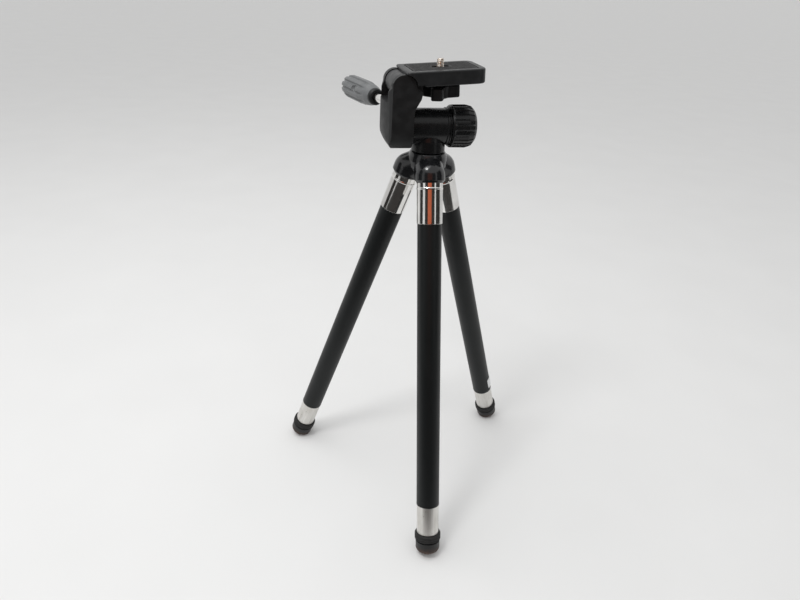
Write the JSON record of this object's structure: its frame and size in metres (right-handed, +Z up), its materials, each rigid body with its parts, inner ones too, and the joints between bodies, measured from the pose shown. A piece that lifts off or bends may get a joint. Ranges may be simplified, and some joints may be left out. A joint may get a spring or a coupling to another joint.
{
  "type": "table tripod",
  "caption": "Compact table tripod: telescoping tube legs hinged under a glossy hub, and a pan-and-tilt head with a flip platform, camera screw and fluted handle.",
  "frame": {"origin": "On the floor, under the middle of the object's bounding box", "axes": "+Z up from the feet to the camera platform; -Y towards the front leg; +X towards the tilt lock knob"},
  "size_m": [0.2528, 0.2492, 0.4402],
  "materials": {
    "chrome": "polished plating",
    "chrome_steel": "bright plated steel",
    "bare_tube": "satin drawn tube, lightly scratched",
    "steel_hardware": "plain zinc-plated steel",
    "black_sleeve": "satin black vinyl skin",
    "gloss_black": "glossy moulded black plastic",
    "black_plastic": "fine-textured moulded black plastic",
    "grey_plastic": "satin grey moulded plastic",
    "black_rubber": "soft black rubber",
    "foot_rubber": "worn, brownish black rubber",
    "blank_label": "plain silver-white sticker with nothing on it"
  },
  "bodies": {
    "hub": {"hub": "gloss_black", "pan_bolt": "steel_hardware", "front_hinge_pin": "steel_hardware", "left_hinge_pin": "steel_hardware", "right_hinge_pin": "steel_hardware"},
    "front_leg": {"front_leg_plug": "black_plastic", "front_ferrule": "chrome", "front_outer_tube": "bare_tube", "front_sleeve": "black_sleeve"},
    "front_leg_section_2": {"front_section_2": "bare_tube"},
    "front_leg_section_3": {"front_section_3": "bare_tube"},
    "front_leg_section_4": {"front_section_4": "bare_tube", "front_foot_collar": "black_rubber", "front_foot": "foot_rubber"},
    "left_leg": {"left_leg_plug": "black_plastic", "left_ferrule": "chrome", "left_outer_tube": "bare_tube", "left_sleeve": "black_sleeve"},
    "left_leg_section_2": {"left_section_2": "bare_tube"},
    "left_leg_section_3": {"left_section_3": "bare_tube"},
    "left_leg_section_4": {"left_section_4": "bare_tube", "left_foot_collar": "black_rubber", "left_foot": "foot_rubber"},
    "right_leg": {"right_leg_plug": "black_plastic", "right_ferrule": "chrome", "right_outer_tube": "bare_tube", "right_sleeve": "black_sleeve", "right_blank_label": "blank_label"},
    "right_leg_section_2": {"right_section_2": "bare_tube"},
    "right_leg_section_3": {"right_section_3": "bare_tube"},
    "right_leg_section_4": {"right_section_4": "bare_tube", "right_foot_collar": "black_rubber", "right_foot": "foot_rubber"},
    "pan_body": {"pan_neck": "gloss_black"},
    "tilt_body": {"bracket": "black_plastic", "tilt_shaft": "steel_hardware", "platform_pin": "steel_hardware"},
    "tilt_lock": {"tilt_knob": "black_plastic", "tilt_washer": "black_plastic"},
    "platform_body": {"platform": "black_plastic", "platform_pad": "black_rubber", "screw_clip": "steel_hardware"},
    "camera_screw_body": {"camera_screw": "chrome_steel", "wing_knob": "black_plastic"},
    "handle": {"handle_rod": "chrome_steel", "handle_ring": "black_plastic", "handle_grip": "grey_plastic"}
  },
  "joints": [
    {"name": "front_leg_fold", "type": "hinge", "parent": "hub", "child": "front_leg", "pos_m": [0.01871, 0.00088, 0.34521], "axis": [0.9792, 0.2028, 0], "range_deg": [0, 19]},
    {"name": "front_section_2_slide", "type": "slide", "parent": "front_leg", "child": "front_leg_section_2", "axis": [0.066, -0.3188, -0.9455], "range_m": [0, 0.235]},
    {"name": "front_section_3_slide", "type": "slide", "parent": "front_leg_section_2", "child": "front_leg_section_3", "axis": [0.066, -0.3188, -0.9455], "range_m": [0, 0.235]},
    {"name": "front_section_4_slide", "type": "slide", "parent": "front_leg_section_3", "child": "front_leg_section_4", "axis": [0.066, -0.3188, -0.9455], "range_m": [0, 0.235]},
    {"name": "left_leg_fold", "type": "hinge", "parent": "hub", "child": "left_leg", "pos_m": [-0.00111, 0.02091, 0.34521], "axis": [-0.213, -0.977, 0], "range_deg": [0, 19]},
    {"name": "left_section_2_slide", "type": "slide", "parent": "left_leg", "child": "left_leg_section_2", "axis": [-0.3181, 0.0694, -0.9455], "range_m": [0, 0.235]},
    {"name": "left_section_3_slide", "type": "slide", "parent": "left_leg_section_2", "child": "left_leg_section_3", "axis": [-0.3181, 0.0694, -0.9455], "range_m": [0, 0.235]},
    {"name": "left_section_4_slide", "type": "slide", "parent": "left_leg_section_3", "child": "left_leg_section_4", "axis": [-0.3181, 0.0694, -0.9455], "range_m": [0, 0.235]},
    {"name": "right_leg_fold", "type": "hinge", "parent": "hub", "child": "right_leg", "pos_m": [0.02785, 0.02851, 0.34521], "axis": [-0.6652, 0.7466, 0], "range_deg": [0, 19]},
    {"name": "right_section_2_slide", "type": "slide", "parent": "right_leg", "child": "right_leg_section_2", "axis": [0.2431, 0.2166, -0.9455], "range_m": [0, 0.235]},
    {"name": "right_section_3_slide", "type": "slide", "parent": "right_leg_section_2", "child": "right_leg_section_3", "axis": [0.2431, 0.2166, -0.9455], "range_m": [0, 0.235]},
    {"name": "right_section_4_slide", "type": "slide", "parent": "right_leg_section_3", "child": "right_leg_section_4", "axis": [0.2431, 0.2166, -0.9455], "range_m": [0, 0.235]},
    {"name": "head_pan", "type": "hinge", "parent": "hub", "child": "pan_body", "pos_m": [0.0153, 0.01733, 0.36301], "axis": [0, 0, 1], "continuous": true},
    {"name": "head_tilt", "type": "hinge", "parent": "pan_body", "child": "tilt_body", "pos_m": [0.0153, 0.01733, 0.38421], "axis": [0.9659, 0.2588, 0], "range_deg": [-30, 90]},
    {"name": "tilt_lock_turn", "type": "hinge", "parent": "tilt_body", "child": "tilt_lock", "pos_m": [0.03945, 0.0238, 0.38421], "axis": [0.9659, 0.2588, 0], "range_deg": [-180, 180]},
    {"name": "platform_flip", "type": "hinge", "parent": "tilt_body", "child": "platform_body", "pos_m": [-0.01222, 0.00996, 0.41902], "axis": [0.2588, -0.9659, 0], "range_deg": [0, 86]},
    {"name": "camera_screw_turn", "type": "hinge", "parent": "platform_body", "child": "camera_screw_body", "pos_m": [0.02179, 0.01907, 0.42148], "axis": [-0.0674, -0.0181, 0.9976], "continuous": true},
    {"name": "handle_turn", "type": "hinge", "parent": "tilt_body", "child": "handle", "pos_m": [-0.01792, 0.03121, 0.39781], "axis": [-0.4924, 0.8704, -0.0035], "range_deg": [-180, 180]}
  ]
}
